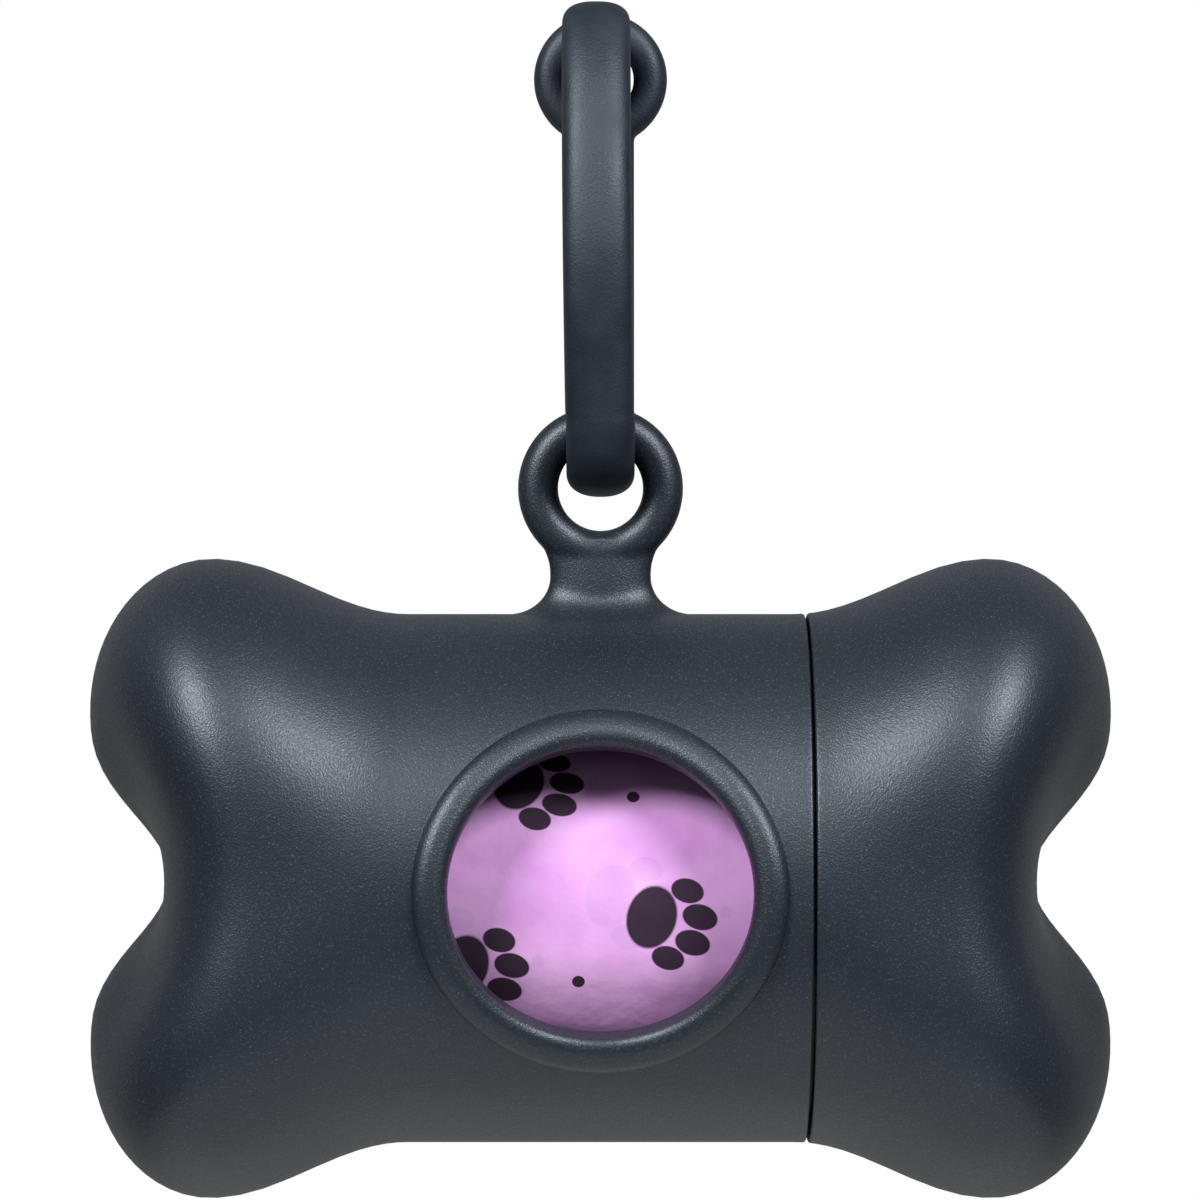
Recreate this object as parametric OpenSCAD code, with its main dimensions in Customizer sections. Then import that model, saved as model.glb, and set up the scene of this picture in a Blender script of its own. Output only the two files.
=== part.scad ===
// Bone-shaped dispenser for rolls of dog waste bags, hanging from a silicone strap.
// Origin: where a lead bears on the inside of the strap loop. X runs along the bone,
// towards its cap; the window looks along -Y; Z is up.

/* [Bone] */
// Length over the lobes
bone_l = 82; // [78:0.5:90]
// Length between the notches of the two ends
notch_l = 69.6; // [66:0.2:72]
// Diameter of the round barrel
barrel_d = 42.4; // [40:0.2:46]
// Height over the lobes
lobe_h = 51.3; // [48:0.1:56]
// Distance between the lobe tips of one end
tip_span = 26.6; // [24:0.2:29]
// Length between the tops of the lobes
crest_l = 62.4; // [60:0.2:66]
// Length over which the sides stay full depth
side_l = 51.5; // [50:0.5:58]
// Length of the straight part of the barrel
waist_l = 31; // [28:0.5:33]
// Distance of the cap's seam from the middle
seam_x = 16.5; // [15:0.1:18]
// Chamfer of the two edges at the seam
seam_chamfer = 0.15; // [0.1:0.05:0.4]
// Wall of the bone
wall = 2.4; // [2:0.1:2.6]
// Step by which the mouth is bored wider, which stops the sleeve
mouth_step = 0.4; // [0.3:0.1:0.5]

/* [Window] */
// Clear diameter of the window
window_d = 23.6; // [20:0.2:26]
// Height of the window and its rim as a share of their width
window_squat = 0.965; // [0.94:0.005:1]
// Width of its raised rim
rim_w = 2.75; // [1.5:0.05:3]
// Height of the rim over the barrel
rim_h = 0.9; // [0.4:0.1:1.2]

/* [Lug] */
// Hole of the lug
lug_hole_d = 6.8; // [6.8:0.1:8]
// Thickness of the lug's round bar
lug_bar_d = 3.25; // [2.8:0.05:3.6]
// Height of the hole's centre over the barrel
lug_rise = 10.1; // [9.5:0.1:13]
// Width of the neck under the lug
neck_w = 8.1; // [7:0.1:9]
// Depth of the neck, front to back
neck_d = 3.5; // [3:0.1:5]
// Width of the fillet at the neck's foot
foot_w = 3.4; // [2:0.1:4]
// Height of the fillet at the neck's foot
foot_h = 3; // [2:0.1:3.5]
// Width of the same fillet in front and behind
foot_front_w = 2.2; // [1.5:0.1:4]
// Height of the same fillet in front and behind
foot_front_h = 1.9; // [1.2:0.1:3.5]

/* [Mouth] */
// Length of the sleeve that the cap pushes onto
plug_l = 8; // [5:0.5:10]
// Length of the sleeve that is glued into the barrel
socket_l = 3.4; // [2.5:0.1:4]
// Wall of the sleeve
sleeve_wall = 1.5; // [1:0.1:1.6]
// Plane beyond the roll at which the cap's wall meets its domed end
dome_x = 29.75; // [29.6:0.05:30.2]
// Radial play of the cap on the sleeve
cap_gap = 0.1; // [0.04:0.01:0.1]
// Glue line between the sleeve and the barrel
glue_gap = 0.05; // [0.02:0.01:0.05]
// Lead-in chamfer of the sleeve
sleeve_lead = 0.7; // [0.3:0.1:0.9]

/* [Strap] */
// Width of the strap
strap_w = 5.5; // [5:0.1:5.6]
// Thickness of the strap
strap_t = 3.9; // [3.2:0.1:4]
// Height over the closed loop
strap_h = 39.8; // [37:0.1:46]
// Half depth of the loop, to the middle of its runs
loop_y = 8.2; // [7.5:0.1:9]
// Height of the arch at the top of the loop
crown_h = 18; // [12:0.5:20]
// Radius of the bottom bend, to the middle of the strap
bend_r = 5.5; // [5:0.1:6]
// Play between the strap and the lug's bar
seat_gap = 0.2; // [0.2:0.05:0.4]
// Outer diameter of the eyelet
eyelet_d = 10.9; // [10:0.1:12]
// Hole of the eyelet
eyelet_hole_d = 5.4; // [5.2:0.1:6]
// Depth of the eyelet
eyelet_t = 3.6; // [3:0.1:4]
// Drop of the eyelet's centre below the top of the loop
eyelet_drop = 5.65; // [5.6:0.05:7]
// Thickness of the neck that passes through the eyelet
tongue_d = 4.2; // [3.6:0.1:4.4]
// Length of the toggle behind the eyelet
toggle_l = 8.4; // [7.5:0.1:10]
// Sideways lean of the front run
strap_lean = 0.35; // [0:0.05:0.4]

/* [Roll] */
// Diameter of the wound bags
roll_d = 31; // [29:0.5:33.5]
// Length of the roll
roll_l = 58; // [50:1:60]
// Thickness of the loose outermost bag
bag_t = 0.3; // [0.2:0.05:0.4]
// Play between the loose bag and the roll
bag_gap = 0.05; // [0.02:0.01:0.1]
// Gap left open where the loose bag ends, in degrees
bag_open = 24; // [10:2:60]
// Outer diameter of the cardboard core
core_d = 15; // [14:0.5:18]
// Wall of the core
core_wall = 1; // [0.6:0.1:1.4]
// Length by which the core stands out of the roll at each end
core_out = 0.5; // [0:0.1:0.8]
// Play between the core and the wound bags
core_gap = 0.05; // [0.02:0.01:0.1]
// Play under the roll, where it lies in the sleeve
roll_play = 0.3; // [0.2:0.05:0.5]

/* [Hidden] */

// Colours
SLATE = [0.20, 0.22, 0.24];
SLATE_STRAP = [0.17, 0.19, 0.21];
CARD = [0.66, 0.52, 0.36];
LILAC = [0.85, 0.62, 0.85];
LILAC_LOOSE = [0.92, 0.72, 0.92];

// Smoothness
ROUND = 96;
SKIN_SIDES = 48;
IN_RINGS = 7;
OUT_RINGS = 6;
FLANK_RINGS = 5;
NECK_SIDES = 28;
STRAP_SIDES = 16;

// Shape of the curves
NOTCH_IN = 2.6;
NOTCH_OUT = 2.5;
SIDE_POWER = 2.5;
FULL_POWER = 5.5;
FULL_FROM = 0.3;
STRAP_POWER = 2.3;
CROWN_POWER = 1.7;
FOOT_STEP = 15;
NECK_STEP = 0.25;
HOOK_FAR = 3.4;
HOOK_NEAR = 3.2;
RUN_TOP = 0.4;
RUN_LOW = 0.35;

// Bone
past = 0.5;
cap_lip = 0.7;
mouth_r = barrel_d / 2 - wall + mouth_step;
sleeve_r = mouth_r - glue_gap;
sleeve_in_r = sleeve_r - sleeve_wall;

// Lug
lug_z = barrel_d / 2 + lug_rise;
hole_r = lug_hole_d / 2;
bar_r = lug_bar_d / 2;
ring_r = hole_r + bar_r;
neck_top = lug_z - hole_r - 0.6;
neck_inset = 1.4;
neck_flat = 0.92;
foot_sink = 0.03;

// Strap, seen from the middle of the lug's hole
strap_low = hole_r - seat_gap - strap_t / 2;
crown_z = strap_low + strap_h - strap_t;
eyelet_z = crown_z + strap_t / 2 - eyelet_drop;
eyelet_bar = (eyelet_d - eyelet_hole_d) / 4;
bend_z = strap_low + bend_r;
bend_half = 80;
tongue_y = loop_y - eyelet_t / 2 - 0.4;
toggle_r = tongue_d / 2;
toggle_y = loop_y + eyelet_t / 2 + seat_gap + toggle_r;

// Height of the lug's hole and of the barrel's axis in the part's frame
lug_frame_z = -(crown_z - strap_t / 2);
axis_z = lug_frame_z - lug_z;

// Roll
bag_r = roll_d / 2 + bag_gap + bag_t;
roll_z = axis_z - (sleeve_in_r - roll_play - bag_r);

// Bone skin: profiles at its lobes and at its sides as [x, radius], drawn in by t.
// u runs from the notch (0) over the lobe's tip (0.5) to the lobe's top (1).
function mix(a, b, k) = a + (b - a) * k;
function notch_rise(v) = pow(1 - pow(1 - v, NOTCH_IN), NOTCH_OUT);
function lobe_inner(v, t) =
    [mix(notch_l / 2, bone_l / 2, notch_rise(v)) - t, tip_span / 2 * v];
function lobe_outer(v, t) = [
    mix(crest_l / 2, bone_l / 2 - t, cos(90 * v)),
    mix(tip_span / 2, lobe_h / 2 - t, sin(90 * v))
];
function lobe_profile(u, t) = u < 0.5 ? lobe_inner(2 * u, t) : lobe_outer(2 * u - 1, t);
function side_profile(u, t) = [
    mix(side_l / 2, notch_l / 2 - t, pow(cos(90 * u), 2 / SIDE_POWER)),
    (barrel_d / 2 - t) * pow(sin(90 * u), 2 / SIDE_POWER)
];
// Share of a lobe at an angle round the bone: rounder near the notch, fuller outside
function lobe_ease(u) =
    let (k = max(0, min(1, (u - FULL_FROM) / (1 - FULL_FROM)))) k * k * (3 - 2 * k);
function swell(angle, u = 1) =
    mix(pow(sin(angle), 2), 1 - pow(abs(cos(angle)), FULL_POWER), lobe_ease(u));
function end_profile(u, angle, t) =
    mix(side_profile(u, t), lobe_profile(u, t), swell(angle, u));

// Flank between the lobe's top (v = 0) and the straight barrel (v = 1)
function crest_x(angle) = mix(side_l / 2, crest_l / 2, swell(angle));
function flank_profile(v, angle, t) = [
    mix(crest_x(angle), waist_l / 2, v),
    barrel_d / 2 - t + (lobe_h - barrel_d) / 2 * swell(angle) * (1 + cos(180 * v)) / 2
];
// Share of the flank at which it reaches the plane x
function flank_share(x, angle) = (crest_x(angle) - x) / (crest_x(angle) - waist_l / 2);

// One ring of skin points from a list of [x, radius], one for each angle
function skin_angle(i) = 360 * i / SKIN_SIDES;
function skin_ring(profiles) = [
    for (i = [0:SKIN_SIDES - 1])
        [profiles[i][0], profiles[i][1] * cos(skin_angle(i)), profiles[i][1] * sin(skin_angle(i))]
];
function end_rings(t) = [
    for (k = [1:IN_RINGS + OUT_RINGS])
        let (u = k <= IN_RINGS ? 0.5 * k / IN_RINGS : 0.5 + 0.5 * (k - IN_RINGS) / OUT_RINGS)
            skin_ring([for (i = [0:SKIN_SIDES - 1]) end_profile(u, skin_angle(i), t)])
];
function flank_rings(stop_x, t) = [
    for (k = [1:FLANK_RINGS])
        skin_ring([
            for (i = [0:SKIN_SIDES - 1])
                flank_profile(flank_share(stop_x, skin_angle(i)) * k / FLANK_RINGS, skin_angle(i), t)
        ])
];
// The flank's section at the plane x, drawn in by t
function cut_ring(x, t) = skin_ring([
    for (i = [0:SKIN_SIDES - 1])
        [x, flank_profile(flank_share(x, skin_angle(i)), skin_angle(i), t)[1]]
]);
function barrel_ring(x, t) = skin_ring([for (i = [0:SKIN_SIDES - 1]) [x, barrel_d / 2 - t]]);
function flip_x(rings) = [for (ring = rings) [for (p = ring) [-p[0], p[1], p[2]]]];
function reverse(list) = [for (i = [len(list) - 1:-1:0]) list[i]];

// Solid through rings of equal count, closed at both ends by a fan to a middle point.
// Seen along the row of rings, each ring runs clockwise.
module ring_solid(rings, first, last) {
    n = len(rings[0]);
    m = len(rings);
    points = concat([first], [for (ring = rings) for (p = ring) p], [last]);
    start_fan = [for (i = [0:n - 1]) [0, 1 + i, 1 + (i + 1) % n]];
    walls = [
        for (k = [0:m - 2])
            for (i = [0:n - 1])
                let (a = 1 + k * n + i, b = 1 + k * n + (i + 1) % n)
                    each [[a, a + n, b + n], [a, b + n, b]]
    ];
    end_fan = [for (i = [0:n - 1]) [m * n + 1, 1 + (m - 1) * n + (i + 1) % n, 1 + (m - 1) * n + i]];
    polyhedron(points, concat(start_fan, walls, end_fan), convexity = 6);
}

// Hollow long part of the bone: the skin from its notch to the seam, and back inside
module long_shell() {
    outside = concat(
        flip_x(end_rings(0)),
        flip_x(flank_rings(waist_l / 2, 0)),
        [barrel_ring(waist_l / 2, 0)],
        [cut_ring(seam_x - seam_chamfer, 0)],
        [cut_ring(seam_x, seam_chamfer)]
    );
    inside = concat(
        flip_x(end_rings(wall)),
        flip_x(flank_rings(waist_l / 2, wall)),
        [barrel_ring(seam_x, wall)]
    );
    ring_solid(
        concat(outside, reverse(inside)),
        [-notch_l / 2, 0, 0],
        [-notch_l / 2 + wall, 0, 0]
    );
}

// Hollow end of the bone: the skin inside from its notch to the seam, and back outside
module short_shell() {
    inside = concat(
        end_rings(wall),
        flank_rings(seam_x + plug_l, wall),
        [barrel_ring(seam_x + plug_l - past, wall + cap_lip)],
        [barrel_ring(seam_x, wall + cap_lip)]
    );
    outside = concat(
        [cut_ring(seam_x, seam_chamfer)],
        reverse(flank_rings(seam_x + seam_chamfer, 0)),
        reverse(end_rings(0))
    );
    ring_solid(
        concat(inside, outside),
        [notch_l / 2 - wall, 0, 0],
        [notch_l / 2, 0, 0]
    );
}

module along_x(x) {
    translate([x, 0, 0])
        rotate([0, 90, 0])
            children();
}

module towards_window() {
    scale([1, 1, window_squat])
        rotate([90, 0, 0])
            children();
}

module at_barrel() {
    translate([0, 0, axis_z])
        children();
}

// Raised rim of the window: a sleeve along Y, cut to a coat of even height over the barrel
module window_rim() {
    intersection() {
        along_x(-window_d)
            cylinder(h = 2 * window_d, r = barrel_d / 2 + rim_h, $fn = ROUND);
        towards_window()
            cylinder(h = barrel_d, r = window_d / 2 + rim_w, $fn = ROUND);
    }
}

// Neck of the lug: a filleted foot on the barrel, then a waist that widens into the ring
function oval(half_x, half_y, i) =
    [half_x * cos(360 * i / NECK_SIDES), half_y * sin(360 * i / NECK_SIDES)];
function on_barrel(y) = sqrt(pow(barrel_d / 2, 2) - y * y);
function foot_ring(angle, sink) = [
    for (i = [0:NECK_SIDES - 1])
        let (
            share = pow(sin(360 * i / NECK_SIDES), 2),
            out = mix(foot_w, foot_front_w, share) * (1 - cos(angle)),
            rise = mix(foot_h, foot_front_h, share) * (1 - sin(angle)),
            p = oval(neck_w / 2 + out, neck_d / 2 + out, i)
        )
            [p[0], p[1], on_barrel(p[1]) + rise - sink]
];
function neck_ring(q) = [
    for (i = [0:NECK_SIDES - 1])
        let (
            low = on_barrel(0) + foot_h,
            high = neck_top,
            half_x = mix(neck_w / 2, ring_r + bar_r - neck_inset, q * q),
            p = oval(half_x, mix(neck_d / 2, bar_r * neck_flat, q * q), i),
            drop = (barrel_d / 2 - on_barrel(p[1])) * (1 - q)
        )
            [p[0], p[1], mix(low, high, q) - drop]
];
module lug_neck() {
    rings = concat(
        [foot_ring(90, wall / 2)],
        [for (angle = [90:-FOOT_STEP:0]) foot_ring(angle, foot_sink)],
        [for (q = [NECK_STEP:NECK_STEP:1]) neck_ring(q)]
    );
    ring_solid(
        rings,
        [0, 0, barrel_d / 2 - wall / 2],
        [0, 0, neck_top]
    );
}

module lug_ring() {
    translate([0, 0, lug_z])
        rotate([90, 0, 0])
            rotate_extrude($fn = ROUND)
                translate([ring_r, 0])
                    circle(r = bar_r, $fn = ROUND);
}

module body_shell() {
    color(SLATE)
        at_barrel()
            difference() {
                union() {
                    long_shell();
                    difference() {
                        window_rim();
                        along_x(-window_d)
                            cylinder(h = 2 * window_d, r = barrel_d / 2 - wall / 2, $fn = ROUND);
                    }
                    lug_neck();
                    lug_ring();
                }
                along_x(seam_x - socket_l)
                    cylinder(h = socket_l + past, r = mouth_r, $fn = ROUND);
                towards_window()
                    cylinder(h = barrel_d, r = window_d / 2, $fn = ROUND);
            }
}

// The cap is one moulding, kept as two solids that meet at dome_x
module cap_moulding() {
    difference() {
        short_shell();
        along_x(seam_x - past)
            cylinder(h = plug_l + 2 * past, r = sleeve_r + cap_gap, $fn = ROUND);
    }
}
module beyond_dome_x() {
    translate([dome_x, -bone_l / 2, -bone_l / 2])
        cube(bone_l);
}

module end_cap() {
    color(SLATE)
        at_barrel()
            intersection() {
                cap_moulding();
                beyond_dome_x();
            }
}

module cap_wall() {
    color(SLATE)
        at_barrel()
            difference() {
                cap_moulding();
                beyond_dome_x();
            }
}

module mouth_sleeve() {
    low = seam_x - socket_l;
    high = seam_x + plug_l;
    color(SLATE)
        at_barrel()
            along_x(0)
                rotate_extrude($fn = ROUND)
                    polygon([
                        [sleeve_in_r, low],
                        [sleeve_r, low],
                        [sleeve_r, high - sleeve_lead],
                        [sleeve_r - sleeve_lead, high],
                        [sleeve_in_r, high]
                    ]);
}

// Strap: a path of [x, y, z, width, thickness], seen from the middle of the lug's hole
function bezier(p, k) =
    pow(1 - k, 3) * p[0] + 3 * pow(1 - k, 2) * k * p[1]
    + 3 * (1 - k) * k * k * p[2] + pow(k, 3) * p[3];
function lean_at(z) = -strap_lean * sin(90 * (z - strap_low) / (crown_z - strap_low));
tongue_path = [
    for (y = [toggle_y, loop_y]) [0, y, eyelet_z, tongue_d, tongue_d]
];
hook_path = [
    for (k = [0:0.1:0.95])
        let (
            hook = [[tongue_y, eyelet_z], [tongue_y - HOOK_FAR, eyelet_z], [HOOK_NEAR, crown_z], [0, crown_z]],
            p = bezier(hook, k)
        )
            [-strap_lean * k, p[0], p[1], mix(tongue_d, strap_w, k), mix(tongue_d, strap_t, k)]
];
crown_path = [
    for (angle = [90:10:180])
        let (z = crown_z - crown_h + crown_h * pow(sin(angle), 2 / CROWN_POWER))
            [lean_at(z), -loop_y * pow(abs(cos(angle)), 2 / CROWN_POWER), z, strap_w, strap_t]
];
bend_side = [bend_r * sin(bend_half), bend_z - bend_r * cos(bend_half)];
function run(top_z, k) = bezier([
    [loop_y, top_z],
    [loop_y, mix(top_z, bend_side[1], RUN_TOP)],
    bend_side + [cos(bend_half), sin(bend_half)] * (top_z - bend_side[1]) * RUN_LOW,
    bend_side
], k);
front_path = [
    for (k = [0.125:0.125:0.9])
        let (p = run(crown_z - crown_h, k))
            [lean_at(p[1]), -p[0], p[1], strap_w, strap_t]
];
bend_path = [
    for (angle = [-bend_half:10:bend_half])
        [0, bend_r * sin(angle), bend_z - bend_r * cos(angle), strap_w, strap_t]
];
back_path = [
    for (k = [0.875:-0.125:-0.01])
        let (p = run(eyelet_z - eyelet_d / 2 + eyelet_bar, k))
            [0, p[0], p[1], strap_w, mix(eyelet_t, strap_t, k)]
];
strap_path = concat(tongue_path, hook_path, crown_path, front_path, bend_path, back_path);

function round_power(v) = sign(v) * pow(abs(v), 2 / STRAP_POWER);
function strap_ring(k) =
    let (
        here = strap_path[k],
        last = len(strap_path) - 1,
        before = strap_path[max(k - 1, 0)],
        after = strap_path[min(k + 1, last)],
        way = [after[1] - before[1], after[2] - before[2]],
        side = [way[1], -way[0]] / norm(way)
    )
        [
            for (i = [0:STRAP_SIDES - 1])
                let (
                    across = here[3] / 2 * round_power(cos(360 * i / STRAP_SIDES)),
                    up = here[4] / 2 * round_power(sin(360 * i / STRAP_SIDES))
                )
                    [here[0] + across, here[1] + side[0] * up, here[2] + side[1] * up]
        ];
function path_point(k) = [strap_path[k][0], strap_path[k][1], strap_path[k][2]];

module eyelet() {
    translate([0, loop_y, eyelet_z])
        rotate([90, 0, 0])
            rotate_extrude($fn = ROUND)
                translate([eyelet_hole_d / 2 + eyelet_bar, 0]) {
                    square([2 * eyelet_bar, eyelet_t - 2 * eyelet_bar], center = true);
                    for (s = [-1, 1])
                        translate([0, s * (eyelet_t / 2 - eyelet_bar)])
                            circle(r = eyelet_bar, $fn = ROUND);
                }
}

module toggle() {
    half = toggle_l / 2 - toggle_r;
    translate([0, toggle_y, eyelet_z]) {
        translate([0, 0, -half])
            cylinder(h = 2 * half, r = toggle_r, $fn = ROUND);
        for (s = [-1, 1])
            translate([0, 0, s * half])
                sphere(r = toggle_r, $fn = ROUND);
    }
}

module strap() {
    last = len(strap_path) - 1;
    color(SLATE_STRAP)
        translate([0, 0, lug_frame_z]) {
            ring_solid([for (k = [0:last]) strap_ring(k)], path_point(0), path_point(last));
            eyelet();
            toggle();
        }
}

// Tube along X, in the middle of the roll
module roll_tube(length, outer_r, inner_r) {
    translate([0, 0, roll_z])
        along_x(-length / 2)
            difference() {
                cylinder(h = length, r = outer_r, $fn = ROUND);
                translate([0, 0, -1])
                    cylinder(h = length + 2, r = inner_r, $fn = ROUND);
            }
}

module roll_core() {
    color(CARD)
        roll_tube(roll_l + 2 * core_out, core_d / 2, core_d / 2 - core_wall);
}

module bag_roll() {
    color(LILAC)
        roll_tube(roll_l, roll_d / 2, core_d / 2 + core_gap);
}

module leading_bag() {
    color(LILAC_LOOSE)
        translate([0, 0, roll_z])
            along_x(-roll_l / 2)
                rotate([0, 0, 180 + bag_open / 2])
                    rotate_extrude(angle = 360 - bag_open, $fn = ROUND)
                        translate([bag_r - bag_t, 0])
                            square([bag_t, roll_l]);
}

body_shell();
end_cap();
cap_wall();
mouth_sleeve();
strap();
roll_core();
bag_roll();
leading_bag();
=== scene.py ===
"""Looks of a bone-shaped dispenser for rolls of dog waste bags, hanging from its silicone strap."""
import math

import bpy
import numpy as np
from mathutils import Matrix


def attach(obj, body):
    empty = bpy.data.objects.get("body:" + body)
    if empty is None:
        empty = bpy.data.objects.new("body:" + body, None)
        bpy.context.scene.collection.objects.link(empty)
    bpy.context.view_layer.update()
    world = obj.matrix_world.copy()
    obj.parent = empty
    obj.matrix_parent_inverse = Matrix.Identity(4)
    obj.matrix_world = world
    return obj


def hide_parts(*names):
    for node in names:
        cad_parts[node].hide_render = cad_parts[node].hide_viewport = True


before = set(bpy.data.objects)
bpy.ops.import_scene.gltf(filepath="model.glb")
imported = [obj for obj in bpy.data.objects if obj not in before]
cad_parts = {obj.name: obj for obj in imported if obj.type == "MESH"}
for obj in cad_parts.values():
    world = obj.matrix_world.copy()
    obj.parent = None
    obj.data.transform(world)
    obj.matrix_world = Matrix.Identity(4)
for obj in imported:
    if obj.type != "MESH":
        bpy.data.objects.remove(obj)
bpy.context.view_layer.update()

# All shapes are worked out in millimetres and settled in metres at the end. The bone is drawn
# round its own middle, the strap round the middle of the lug's hole, the roll round its axis.
BONE_Z, HOLE_Z, ROLL_Z = -66.5, -35.2, -68.0

# bone: its length over all, between the notches of its ends, between the crests of its lobes,
# where its front is as deep as the barrel, and where it is a plain barrel
BONE_L, NOTCH_L, CREST_L, SIDE_L, WAIST_L = 82, 69.6, 62.4, 51.5, 31
BARREL_R, LOBE_R, TIP_R = 21.2, 25.65, 13.3
# how full the lobes are across, and from which share of the profile on
FULL_POWER, FULL_FROM = 5.5, 0.3
# how the end swells from its notch to the tips of its lobes, and how round its front edge is
END_RISE, SIDE_POWER = (2.6, 2.5), 0.8
SHELL_WALL = 2.0

# seam between the long part and the cap: its place, the rounding of its edges, half its gap
SEAM_X, SEAM_ROUND, SEAM_GAP = 16.5, 0.22, 0.11
# cuts that give the rounding its steps, as shares of it, and the depth that still is outer skin
SEAM_CUTS, SEAM_DEPTH = (1.0, 0.62, 0.34, 0.14), 0.7

# window: radius of the hole and of its rim, rise of the rim, height for its width
WINDOW_R, RIM_R, RIM_RISE, WINDOW_LOW = 11.8, 14.55, 0.88, 0.965
# how deep the rim's rounding starts in the hole, how full it is, and its number of steps
RIM_SUNK, RIM_POWER, RIM_STEPS = 0.28, 0.92, 22
# depths of the hole's edges in the wall, and the crease where the rim meets the barrel, as
# distance beyond the rim and rise
HOLE_DEPTHS = (SHELL_WALL, 1.5, 1.0, 0.6)
RIM_CREASE = ((0.05, 0.0), (0.11, -0.015), (0.2, 0.0), (0.35, 0.0))
# the rim leans with the barrel's curve; inside the wall the hole follows it only this much
HOLE_LEAN = 0.45
# how much closer together the bone's rings are near the rim
RINGS_CLOSER = 0.25

# lug: height of its hole over the bone's middle, radius of the hole and of the bar round it
LUG_Z, HOLE_R, BAR_R = 31.3, 3.4, 1.625
RING_R = HOLE_R + BAR_R
# half width and half thickness of its neck, at the foot and at the top
NECK_HALF, NECK_THICK = 4.05, 1.75
NECK_TOP_HALF, NECK_TOP_THICK = RING_R + BAR_R - 1.5, BAR_R * 0.92
# how late the neck widens and thins, how far under the hole it ends, how deep it is rooted
NECK_FLARE, NECK_THIN, NECK_DROP, NECK_ROOT = 2.2, 1.3, 0.55, 1.2
# width and height of the fillet at the neck's foot: beside it, then in front and behind
FOOT_SIDE, FOOT_FRONT = (3.4, 3.0), (2.2, 1.9)
# the foot sinks this much into the barrel, so that no gap shows; its set fillet sinks a little less
FOOT_SINK, FILLET_SINK = 0.02, 0.015
# share of the fillet's height and width that is held to its curve, and how softly it lets go
FILLET_HIGH, FILLET_WIDE, FILLET_SOFT = 0.92, 1.02, 0.6

# how finely the shapes are drawn
AROUND, OUTER_RINGS, INNER_RINGS = 256, 150, 84
PROFILE_STEPS, FLANK_STEPS, RAYS_AT_ONCE = 260, 140, 3000
NECK_SIDES, FOOT_STEPS, NECK_STEPS, STRAP_SIDES = 96, 10, 8, 48
RING_FINENESS = {"major_segments": 128, "minor_segments": 40}
LUG_VOXEL, STRAP_VOXEL = 0.15, 0.16
# passes that smooth the steps of the voxels
LUG_SMOOTHING, STRAP_SMOOTHING = 14, 8


def linear(hex_colour):
    """An sRGB hex colour as the linear one that a shader takes."""
    parts = [int(hex_colour[i:i + 2], 16) / 255 for i in (1, 3, 5)]
    light = [c / 12.92 if c <= 0.04045 else ((c + 0.055) / 1.055) ** 2.4 for c in parts]
    return (*light, 1.0)


def mix(a, b, share):
    return a + (b - a) * share


def ease(k):
    """0 to 1, slow at both ends."""
    return k * k * (3 - 2 * k)


def ring_turns(count):
    """Angles of evenly spread points round a ring."""
    return np.arange(count) * 2 * math.pi / count


# ---------------------------------------------------------------- hands-on helpers

def new_piece(name):
    """Names the primitive that was just added."""
    piece = bpy.context.active_object
    piece.name = name
    piece.data.name = name
    return piece


def only(piece):
    """Selects one piece and nothing else, and makes it the active one."""
    if bpy.context.mode != "OBJECT":
        bpy.ops.object.mode_set(mode="OBJECT")
    bpy.ops.object.select_all(action="DESELECT")
    piece.select_set(True)
    bpy.context.view_layer.objects.active = piece


def points_of(piece):
    """Places of a piece's points, one row each."""
    found = np.empty(len(piece.data.vertices) * 3)
    piece.data.vertices.foreach_get("co", found)
    return found.reshape(-1, 3)


def move_points(piece, points):
    piece.data.vertices.foreach_set("co", np.ascontiguousarray(points, dtype=np.float64).ravel())
    piece.data.update()


def finish_with(piece, kind, **settings):
    """Adds a modifier and applies it."""
    only(piece)
    modifier = piece.modifiers.new(kind.title(), kind)
    for key, value in settings.items():
        setattr(modifier, key, value)
    bpy.ops.object.modifier_apply(modifier=modifier.name)


def faces_out(piece):
    """Merges points that lie together and turns every face outwards."""
    only(piece)
    bpy.ops.object.mode_set(mode="EDIT")
    bpy.ops.mesh.select_all(action="SELECT")
    bpy.ops.mesh.remove_doubles(threshold=1e-5)
    bpy.ops.mesh.normals_make_consistent(inside=False)
    bpy.ops.object.mode_set(mode="OBJECT")


def pick(piece, which):
    """Opens a piece in edit mode with just these points selected."""
    only(piece)
    bpy.ops.object.mode_set(mode="EDIT")
    bpy.ops.mesh.select_mode(type="VERT")
    bpy.ops.mesh.select_all(action="DESELECT")
    bpy.ops.object.mode_set(mode="OBJECT")
    piece.data.vertices.foreach_set("select", np.asarray(which, dtype=bool))
    bpy.ops.object.mode_set(mode="EDIT")


def join(name, *pieces):
    """Makes several pieces one, with a new name."""
    only(pieces[0])
    for piece in pieces:
        piece.select_set(True)
    bpy.ops.object.join()
    return new_piece(name)


def pull_ball(name, rings, start, end):
    """A ball pulled out into a tube, its rings on the given rings, its poles at start and end."""
    count, sides = rings.shape[:2]
    bpy.ops.object.select_all(action="DESELECT")
    bpy.ops.mesh.primitive_uv_sphere_add(segments=sides, ring_count=count + 1, radius=1)
    piece = new_piece(name)
    ball = points_of(piece)
    ring = np.rint(np.arccos(np.clip(ball[:, 2], -1, 1)) / math.pi * (count + 1)).astype(int)
    side = np.rint(np.arctan2(ball[:, 1], ball[:, 0]) / (2 * math.pi) * sides).astype(int) % sides
    places = rings[np.clip(ring - 1, 0, count - 1), side]
    places[ring == 0] = start
    places[ring == count + 1] = end
    move_points(piece, places)
    return piece, ring


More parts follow.
